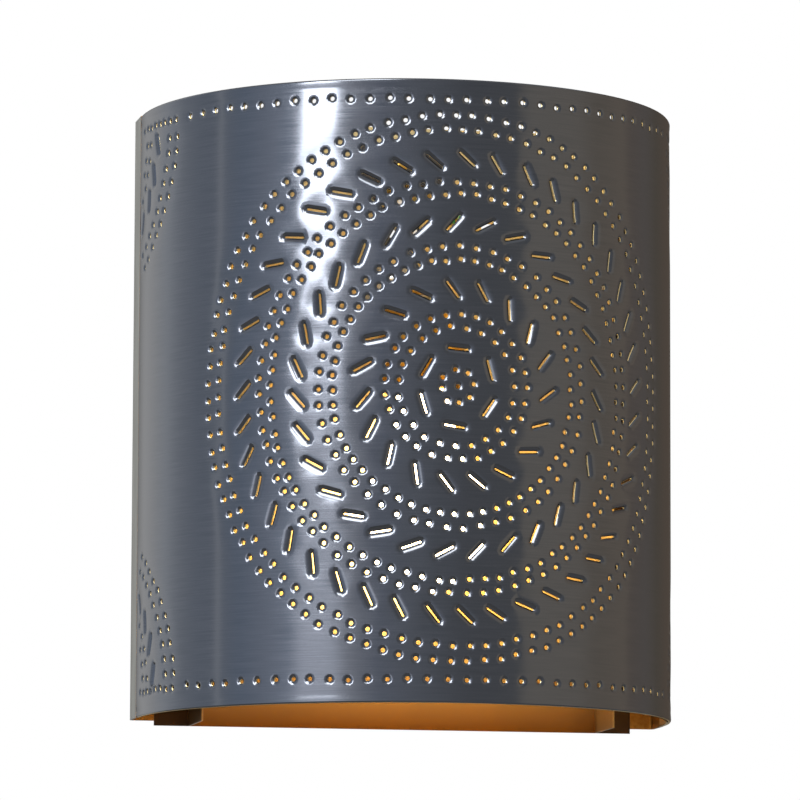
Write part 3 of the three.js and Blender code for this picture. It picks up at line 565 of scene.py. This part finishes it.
lug_x, lug_y, lug_level = middle("earth_lug")
lug_edge = lug_x - extent("earth_lug")[0] / 2 - LUG_GAP
earth_route = [(POLE_PITCH, entry, block_foot + ENTRY_DEPTH), (POLE_PITCH, entry, block_foot),
               (POLE_PITCH, entry, block_foot - LEAD_SAG / 2),
               ((POLE_PITCH + lug_edge) / 2, (entry + lug_y) / 2, lug_level + LEAD_SAG / 8),
               (lug_edge, lug_y - LEAD_RADIUS / 2, lug_level)]
piece("earth_wire", drawn(earth_route, LEAD_RADIUS, (0, 1, 0)), green_pvc, "wall_plate", "green_pvc",
      "earth_lead")

# Bulb: a frosted globe in a nickelled screw base, screwed up into the socket until its tip meets the contact.
# Blown glass, etched inside, so the whole of it glows, a little more at the neck. The base is bright and
# faintly clouded, the stem clear drawn glass, and the filament dark tungsten wire.
BASE_INSIDE = 11.6
TIP_STEPS = 8
GLOW = 12.0
NECK_GLOW = 1.4
GLOW_SHADE = "#ffe2b6"
GLASS_WALL = 1
NECK_RADIUS = 11.3
NECK_EASE = 0.75
NECK_STEPS = 24
SHOULDER = 33
GLOBE_STEPS = 40
nickel = finish("nickelled_brass", ("#aaa59a", "#c9c4b8"), grain=3, roughness=(0.22, 0.34), relief=0.01,
                Metallic=1.0)
tip_low, tip_high, tip_radius = tube("bulb_tip")
tip_dome = np.radians(np.linspace(0, 90, TIP_STEPS))
tip = [(0, tip_low), *zip(tip_radius * np.cos(tip_dome), tip_low + (tip_high - tip_low) * np.sin(tip_dome))]
piece("contact_tip", turned(tip, lamp_axis, UP), brass, "bulb_contact", "lamp_brass", "bulb_tip")
insulator_low, insulator_high, insulator_radius = tube("bulb_insulator")
cone = [(0, insulator_low), (insulator_radius, insulator_low), (tip_radius + THREAD_DEPTH, insulator_high),
        (0, insulator_high)]
piece("base_insulator", turned(cone, lamp_axis, UP), phenolic, "bulb", "black_phenolic", "bulb_insulator",
      rounding=0.3)
base_low, base_high, base_radius = tube("bulb_base")
base = threaded(base_low, base_high, BASE_INSIDE, base_radius, False)
piece("screw_base", base, nickel, "bulb", "bulb_nickel", "bulb_base")
glass_low, glass_high, globe_radius = tube("bulb_glass")
globe_centre = glass_low + globe_radius


def bulb_wall(inset):
    """The glass from its end up: a circle of the globe's radius to the shoulder, then an S-curve to the neck.

    The S-curve goes from the one radius to the other by s ** NECK_EASE * (1 - s) + s * (2 * s - s ** 2).
    """
    radius = globe_radius - inset
    arc = np.radians(np.linspace(-90, SHOULDER, GLOBE_STEPS))
    globe = np.stack([radius * np.cos(arc), globe_centre + radius * np.sin(arc)], 1)
    share = np.linspace(0, 1, NECK_STEPS)[1:]
    ease = share ** NECK_EASE * (1 - share) + share * (2 * share - share ** 2)
    neck = NECK_RADIUS - inset
    flare = np.stack([globe[-1, 0] + (neck - globe[-1, 0]) * ease,
                      globe[-1, 1] + (base_low - globe[-1, 1]) * share], 1)
    return np.concatenate([globe, flare, [(neck, glass_high)]])


frosted = finish("frosted_glass", ("#f6ead8", "#fff6e8"), grain=8, roughness=(0.45, 0.6), relief=0.01)
globe_tree = frosted.node_tree
globe_places = node(globe_tree, "ShaderNodeTexCoord", {})
globe_split = node(globe_tree, "ShaderNodeSeparateXYZ", {0: globe_places.outputs["Object"]})
globe_share = node(globe_tree, "ShaderNodeMapRange",
                   {"Value": globe_split.outputs["Z"], "From Min": globe_centre * MM,
                    "From Max": base_low * MM, "To Min": GLOW, "To Max": GLOW * NECK_GLOW})
frosted_shader = globe_tree.nodes["Principled BSDF"]
frosted_shader.inputs["Emission Color"].default_value = linear(GLOW_SHADE)
globe_tree.links.new(globe_share.outputs[0], frosted_shader.inputs["Emission Strength"])
glass_profile = np.concatenate([bulb_wall(0), bulb_wall(GLASS_WALL)[::-1]])
piece("frosted_globe", turned(glass_profile, lamp_axis, UP), frosted, "bulb", "frosted_glass", "bulb_glass")
clear = finish("clear_glass", ("#e4ecec", "#f0f5f4"), grain=8, roughness=(0.04, 0.09), relief=0.005,
               Transmission_Weight=0.9, IOR=1.5)
tungsten = finish("hot_tungsten", ("#5c5a57", "#757370"), grain=1, roughness=(0.4, 0.55), relief=0.01,
                  Metallic=1.0)
kept("bulb_stem", clear, rounding=0.3)
kept("bulb_filament", tungsten, rounding=0.1)
for word in ("left", "right"):
    kept(word + "_filament_support", steel, rounding=0.1)

# Shade: one tinned sheet bent to a half circle, its top and bottom edges folded back inside.
# It is punched from the front with a nail set and a chisel, so each mark is a dent with a hole at its foot.
# The tin is rolled and darkened to pewter outside, and has the plate's gold lacquer inside.
SHEET = 0.8
HEM = 6
HEM_STEP = 0.8
BEAD = 3.6
BEAD_WIDTH = 1.6
BEAD_DEPTH = 0.12
EDGE_ROLL = 0.8
sheet_high = np.array(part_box("shade_sheet"))[1] / MM
shade_radius, shade_axis, half_height = sheet_high
half_length = shade_radius * math.pi / 2
hem_line = half_height - HEM

# Where the marks are: radius, count and first bearing of each ring of dots, and of cuts with their tilt
DOT_RINGS = ((111.3, 99, 3.2), (105.2, 94, 0.9), (83.9, 75, 3.9), (78.8, 76, 3.8), (57.4, 51, 4.4),
             (51.8, 54, 1.9), (29.8, 29, 0.7), (24.3, 23, 2.3), (7.0, 8, 8.3), (0.0, 1, 0.0))
CUT_RINGS = ((93, 43, 4, -46), (67, 31, 10, 34), (39.8, 19, 17, -50), (15.5, 6, 28, -7))
ROSETTE_RISE = 1.1
FAN_ALONG = 198
FAN_RISE = 118
FAN_DOT_ROWS = (64.5, 58, 38, 33)
FAN_DOT_PITCH = 6.4
FAN_EDGE_GAP = 4
FAN_CUTS = np.radians(9 + 15.7 * np.arange(4))
FAN_CUT_RADIUS = 46
FAN_CUT_TILT = math.radians(35)
BORDER_TOP = 118.75
BORDER_BOTTOM = -117.5
BORDER_PITCH = 8
BORDER_REACH = 131
FAN_BORDER_START = 135
FAN_BORDER_PITCH = 5
BORDER_EDGE_GAP = 3
DOT_SCATTER = 0.28
DOT_SCATTER_LIMIT = 0.5
CUT_SCATTER = 0.4
CUT_SCATTER_LIMIT = 0.7
CUT_SWING = math.radians(4)
HAND_SEED = 11


def round_row(radius, bearings):
    """Places on a ring: (along, up) = radius * (cos bearing, sin bearing)."""
    return radius * np.stack([np.cos(bearings), np.sin(bearings)], -1)


dots = [round_row(radius, np.radians(first + 360 / count * np.arange(count))) + [0, ROSETTE_RISE]
        for radius, count, first in DOT_RINGS]
cuts = []
cut_angles = []
for radius, count, first, tilt in CUT_RINGS:
    bearings = np.radians(first + 360 / count * np.arange(count))
    cuts.append(round_row(radius, bearings) + [0, ROSETTE_RISE])
    cut_angles.append(bearings + math.radians(90 + tilt))
for side in (-1, 1):
    for end in (-1, 1):
        corner = np.array([side * FAN_ALONG, end * FAN_RISE])
        inward = np.array([-side, -end])
        for radius in FAN_DOT_ROWS:
            reach = math.acos((FAN_ALONG - half_length + FAN_EDGE_GAP) / radius)
            bearings = np.arange(FAN_DOT_PITCH / radius, reach, FAN_DOT_PITCH / radius)
            dots.append(corner + inward * round_row(radius, bearings))
        cuts.append(corner + inward * round_row(FAN_CUT_RADIUS, FAN_CUTS))
        cut_angles.append(side * end * (FAN_CUTS + math.pi / 2 - FAN_CUT_TILT))
half_row = np.concatenate([np.arange(BORDER_PITCH / 2, BORDER_REACH, BORDER_PITCH),
                           np.arange(FAN_BORDER_START, half_length - BORDER_EDGE_GAP, FAN_BORDER_PITCH)])
row = np.concatenate([-half_row[::-1], half_row])
for level_up_sheet in (BORDER_TOP, BORDER_BOTTOM):
    dots.append(np.stack([row, np.full(len(row), level_up_sheet)], -1))
hand = np.random.default_rng(HAND_SEED)
dots = np.concatenate(dots)
dots = dots + hand.normal(0, DOT_SCATTER, dots.shape).clip(-DOT_SCATTER_LIMIT, DOT_SCATTER_LIMIT)
cuts = np.concatenate(cuts)
cuts = cuts + hand.normal(0, CUT_SCATTER, cuts.shape).clip(-CUT_SCATTER_LIMIT, CUT_SCATTER_LIMIT)
cut_angles = np.concatenate(cut_angles) + hand.normal(0, CUT_SWING, len(cuts))

# How a mark is formed: reaches go from the hole's edge to the dent's rim, and a soft hollow lies round it
DOT_REACHES = (0.95, 1.7, 2.6)
DOT_SIDES = 10
DOT_SLOPE = 0.85
DOT_POWER = 1
DOT_SINK = 0.12
DOT_SINK_WIDTH = 4.5
CUT_LENGTH = 8.6
CUT_REACHES = (0.4, 1.4, 2.4, 3.4)
CUT_END_STEPS = 5
CUT_SIDE_STEPS = 4
CUT_SLOPE = 1.0
CUT_POWER = 1.6
CUT_SINK = 0.3
CUT_SINK_WIDTH = 5.5


def punched(places, angles, core, outward, reaches, steep, power):
    """Rings of points round each mark: place + turn(angle) * (core + reach * outward), with the dent's fall.

    The dent is a bowl: its slope is steep * share ** power, where share falls evenly from hole to rim.
    Returns the points, the dents, their slopes along the sheet, and the mark whose hole a point is on,
    or -1.
    """
    ahead = np.stack([np.cos(angles), np.sin(angles)], -1)
    turn = np.stack([ahead, np.stack([-ahead[:, 1], ahead[:, 0]], -1)], -1)
    reaches = np.array(reaches)
    share = (reaches[-1] - reaches) / (reaches[-1] - reaches[0])
    fall = -steep * share ** power
    dent = -fall * (reaches[-1] - reaches) / (power + 1)
    local = core[None] + reaches[:, None, None] * outward[None]
    points = places[:, None, None] + np.einsum("nij,rkj->nrki", turn, local)
    slopes = fall[None, :, None, None] * np.einsum("nij,kj->nki", turn, outward)[:, None]
    shape = points.shape[:3]
    owner = np.where(np.arange(len(reaches))[None, :, None] == 0, np.arange(len(places))[:, None, None], -1)
    return (points.reshape(-1, 2), np.broadcast_to(dent[None, :, None], shape).ravel(),
            np.broadcast_to(slopes, points.shape).reshape(-1, 2), np.broadcast_to(owner, shape).ravel())


round_turn = np.linspace(0, 2 * math.pi, DOT_SIDES, endpoint=False)
round_out = np.stack([np.cos(round_turn), np.sin(round_turn)], 1)
dot_rings = punched(dots, np.zeros(len(dots)), 0 * round_out, round_out, DOT_REACHES, DOT_SLOPE, DOT_POWER)
to_dots = np.linalg.norm(dot_rings[0][:, None] - dots[None], axis=-1)
clear_of_others = np.partition(to_dots, 1, axis=1)[:, 1] > DOT_REACHES[-1]
dot_rings = [values[clear_of_others | (dot_rings[3] >= 0)] for values in dot_rings]
cap = np.radians(np.linspace(-90, 90, CUT_END_STEPS))
straight = np.linspace(1, -1, CUT_SIDE_STEPS + 2)[1:-1]
cap_out = np.stack([np.cos(cap), np.sin(cap)], 1)
side_out = np.tile([0.0, 1.0], (CUT_SIDE_STEPS, 1))
cut_out = np.concatenate([cap_out, side_out, -cap_out, -side_out])
cut_ends = np.concatenate([np.ones(CUT_END_STEPS), straight, -np.ones(CUT_END_STEPS), -straight])
cut_core = cut_ends[:, None] * [CUT_LENGTH / 2 - CUT_REACHES[0], 0]
cut_rings = punched(cuts, cut_angles, cut_core, cut_out, CUT_REACHES, CUT_SLOPE, CUT_POWER)

# The plain sheet between the marks: a lattice that keeps clear of them, with closer rows along the hems
LATTICE = 4
LATTICE_GAP = 0.6
HEM_GAP = 2
columns = np.linspace(-half_length, half_length, int(2 * half_length / LATTICE))
plain_rows = np.linspace(-hem_line + HEM_GAP, hem_line - HEM_GAP, int(2 * hem_line / LATTICE))
edge_rows = half_height - np.array([HEM + HEM_GAP / 2, HEM, HEM - HEM_STEP / 2, HEM - HEM_STEP,
                                    BEAD + BEAD_WIDTH / 2, BEAD, BEAD - BEAD_WIDTH / 2, BEAD - BEAD_WIDTH,
                                    EDGE_ROLL, EDGE_ROLL / 2, 0])
rows = np.concatenate([-edge_rows, plain_rows, edge_rows])
lattice = np.stack(np.meshgrid(columns, rows), -1).reshape(-1, 2)
cut_line = np.stack([np.cos(cut_angles), np.sin(cut_angles)], -1)
to_cut = lattice[:, None] - cuts[None]
on_line = np.clip((to_cut * cut_line).sum(-1), -CUT_LENGTH / 2, CUT_LENGTH / 2)
from_cut = np.linalg.norm(to_cut - on_line[..., None] * cut_line, axis=-1).min(1)
from_dot = np.linalg.norm(lattice[:, None] - dots[None], axis=-1).min(1)
lattice = lattice[~((from_cut < CUT_REACHES[-1] + LATTICE_GAP) | (from_dot < DOT_REACHES[-1] + LATTICE_GAP))]
flat = np.concatenate([dot_rings[0], cut_rings[0], lattice])
dent = np.concatenate([dot_rings[1], cut_rings[1], np.zeros(len(lattice))])
slope = np.concatenate([dot_rings[2], cut_rings[2], np.zeros((len(lattice), 2))])
owner = np.concatenate([dot_rings[3], np.where(cut_rings[3] < 0, -1, cut_rings[3] + len(dots)),
                        np.full(len(lattice), -1)])


def sunk(places, marks, depth, width):
    """The soft hollows: the sum of depth * exp(-(d / width) ** 2) over all marks, and its slopes."""
    away = places[:, None] - marks[None]
    hollows = depth * np.exp(-(away ** 2).sum(-1) / width ** 2)
    return hollows.sum(1), (-2 / width ** 2 * away * hollows[..., None]).sum(1)


def pressed(places):
    """Depth of the soft hollows, the groove under the edge's bead and its square-law roll, with slopes."""
    dot_sink, dot_tilt = sunk(places, dots, DOT_SINK, DOT_SINK_WIDTH)
    cut_sink, cut_tilt = sunk(places, cuts, CUT_SINK, CUT_SINK_WIDTH)
    height = np.abs(places[:, 1])
    past = np.maximum(height - half_height + EDGE_ROLL, 0) / EDGE_ROLL
    from_bead = (height - half_height + BEAD) / BEAD_WIDTH
    groove = BEAD_DEPTH * np.exp(-from_bead ** 2)
    rise = (past - 2 / BEAD_WIDTH * from_bead * groove) * np.sign(places[:, 1])
    depth = dot_sink + cut_sink + groove + EDGE_ROLL / 2 * past ** 2
    return depth, dot_tilt + cut_tilt + np.stack([0 * rise, rise], -1)


BATCHES = 24  # the hollows are summed in batches, to save memory
SAME_PLACE = 1e-6
parts = [pressed(some) for some in np.array_split(flat, BATCHES)]
dent = dent + np.concatenate([depth for depth, _ in parts])
slope = slope + np.concatenate([tilt for _, tilt in parts])
_, _, triangles, _, _, _ = delaunay_2d_cdt(flat.tolist(), [], [], 0, SAME_PLACE)
triangles = np.array(triangles)
owners = owner[triangles]
in_hole = (owners[:, 0] >= 0) & (owners[:, 0] == owners[:, 1]) & (owners[:, 0] == owners[:, 2])
triangles = triangles[~in_hole]

# The flat sheet is bent round the axis: P(along, up) = axis + (radius - dent) * spoke(along / radius) + up.
# The inner skin lies a sheet further in, or two in the hem, and walls join the skins at holes and edges.
theta = flat[:, 0] / shade_radius
spoke = np.stack([np.sin(theta), -np.cos(theta), 0 * theta], -1)
around = np.stack([np.cos(theta), np.sin(theta), 0 * theta], -1)
outer = spoke * (shade_radius - dent)[:, None] + [0, shade_axis, 0]
outer[:, 2] = flat[:, 1]
in_hem = np.clip((np.abs(flat[:, 1]) - hem_line) / HEM_STEP, 0, 1)
fold = SHEET * in_hem ** 2 * (3 - 2 * in_hem)
fold_slope = 6 * SHEET / HEM_STEP * in_hem * (1 - in_hem) * np.sign(flat[:, 1])
inner = outer - (SHEET + fold)[:, None] * spoke
normals = spoke + slope[:, :1] * around + slope[:, 1:] * [0, 0, 1]
normals /= np.linalg.norm(normals, axis=1, keepdims=True)
inner_normals = -spoke - slope[:, :1] * around - (slope[:, 1] + fold_slope)[:, None] * [0, 0, 1]
inner_normals /= np.linalg.norm(inner_normals, axis=1, keepdims=True)
count = len(flat)
sides = np.concatenate([triangles[:, [0, 1]], triangles[:, [1, 2]], triangles[:, [2, 0]]])
key = np.sort(sides, 1) @ [count, 1]
_, back, uses = np.unique(key, return_inverse=True, return_counts=True)
rim = sides[uses[back] == 1]
faces = [*triangles.tolist(), *(triangles[:, ::-1] + count).tolist(),
         *np.stack([rim[:, 1], rim[:, 0], rim[:, 0] + count, rim[:, 1] + count], 1).tolist()]

# Rolling lines run round the shade. Real ones are under 0.1 mm wide, and are drawn 0.5 mm wide to show.
dark_tin = finish("dark_pewter_tin", ("#494c51", "#525459"), grain=0.5, roughness=(0.12, 0.18),
                  relief=0.0012, stretch=(40, 1, 1), coordinates="UV", Metallic=1.0)
shade_mesh = bpy.data.meshes.new("punched_shade")
shade_mesh.from_pydata((np.concatenate([outer, inner]) * MM).tolist(), [], faces)
shade_mesh.shade_smooth()
loops = np.zeros(len(shade_mesh.loops), dtype=np.int32)
shade_mesh.loops.foreach_get("vertex_index", loops)
sheet_map = shade_mesh.uv_layers.new(name="sheet")
sheet_map.uv.foreach_set("vector", (np.tile(flat, (2, 1))[loops] * MM).ravel().astype(np.float32))
skins = np.repeat([0, 1, 1], [len(triangles), len(triangles), len(rim)])
shade_mesh.polygons.foreach_set("material_index", skins.astype(np.int32))
shade_mesh.materials.append(dark_tin)
shade_mesh.materials.append(gold_tin)
shade_mesh.normals_split_custom_set_from_vertices(np.concatenate([normals, inner_normals]).tolist())
shade = bpy.data.objects.new("punched_shade", shade_mesh)
bpy.context.scene.collection.objects.link(shade)
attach(shade, "shade")
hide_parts("shade_sheet")

# Side rails: an angle of tin sheet down each side, from the shade's edge back to a lip on the wall.
# Folded on a brake, with a tongue soldered behind the shade's edge.
# Pale rolled tin outside, its grain along the rail, and inside the lacquer is painted a darker brown as
# shade.
RAIL_LIP = 10
RAIL_LAP = 8
LIP_CLOSE = 0.35
FOLD = 1.6
FOLD_STEPS = 7
SEAM = 0.3
TONGUE_INSET = 0.7
TONGUE_END_GAP = 0.3
JOG_INSET = 0.6
JOG_BACK = 4
JOG_RUN = 2
FACING_IN = 0.5
# Painted shade: the rails' inner faces take a brown that is darker than the gold lacquer inside the shade.
rail_inner_shade_tin = finish("rail_tin_painted_shade", ("#8c5c1c", "#a67430"), grain=1.5, roughness=(0.35, 0.5),
                   relief=0.02, Metallic=0.8)
rail_tin = finish("pale_rolled_tin", ("#77776f", "#8b8b84"), grain=2, roughness=(0.3, 0.4), relief=0.01,
                  stretch=(1, 1, 12), Metallic=1.0)


def folded(line, thickness, low, high):
    """A folded strip: the line's two sides, half a thickness off along its normal, from low to high."""
    along = np.gradient(line, axis=0)
    along /= np.linalg.norm(along, axis=1, keepdims=True)
    across = np.stack([-along[:, 1], along[:, 0]], 1) * thickness / 2
    section = np.concatenate([line + across, (line - across)[::-1]])
    total = len(section)
    points = np.concatenate([np.c_[section, np.full(total, low)], np.c_[section, np.full(total, high)]])
    strip = np.arange(len(line) - 1)
    end = np.stack([strip, strip + 1, total - 2 - strip, total - 1 - strip], 1)
    return points, np.concatenate([quads(2, total, close_rows=False), end, end + total])


def bend(corner, start, stop):
    """Points of a fold of FOLD radius about a centre, from one angle to another in degrees."""
    angles = np.radians(np.linspace(start, stop, FOLD_STEPS))
    return corner + FOLD * np.stack([np.cos(angles), np.sin(angles)], 1)


for word, side in (("left", -1), ("right", 1)):
    node_name = word + "_rail"
    wall_line = -SHEET / 2
    side_line = shade_radius - SHEET / 2
    tongue_line = math.sqrt((shade_radius - SHEET) ** 2 - RAIL_LAP ** 2) - TONGUE_INSET
    lip_line = np.array([[shade_radius - RAIL_LIP - LIP_CLOSE, wall_line],
                         [shade_radius - RAIL_LIP / 2, wall_line]])
    corner = np.array([side_line - FOLD, wall_line - FOLD])
    seam = shade_axis + SEAM
    angle_line = np.concatenate([lip_line, bend(corner, 90, 0), [[side_line, seam / 2], [side_line, seam]]])
    jog = np.array([[side_line - JOG_INSET, seam + JOG_BACK], [tongue_line, seam + JOG_RUN],
                    [tongue_line, seam - JOG_RUN], [tongue_line, shade_axis - RAIL_LAP]])
    mirror = np.array([side, 1])
    tongue_reach = hem_line - TONGUE_END_GAP
    angle_points, angle_faces = folded(angle_line * mirror, SHEET, -half_height, half_height)
    tongue_points, tongue_faces = folded(jog * mirror, SHEET, -tongue_reach, tongue_reach)
    rail_shape = (np.concatenate([angle_points, tongue_points]),
                  np.concatenate([angle_faces, tongue_faces + len(angle_points)]))
    rail = piece(word + "_side_rail", rail_shape, rail_tin, "shade", "rail_tin", node_name)
    rail.data.materials.append(rail_inner_shade_tin)
    facing = np.zeros(3 * len(rail.data.polygons))
    rail.data.polygons.foreach_get("normal", facing)
    # Faces turned inwards get the brown of painted shade.
    inside = (facing.reshape(-1, 3) @ [-side, -1, 0]) > FACING_IN
    rail.data.polygons.foreach_set("material_index", inside.astype(np.int32))

# Hooks: steel channels soldered in the rails' corners, each with a slot that drops over its hanger pin.
# Bent zinc plated strip, plain and slightly scuffed.
for word in ("left", "right"):
    kept(word + "_hook", steel, rounding=0.25)
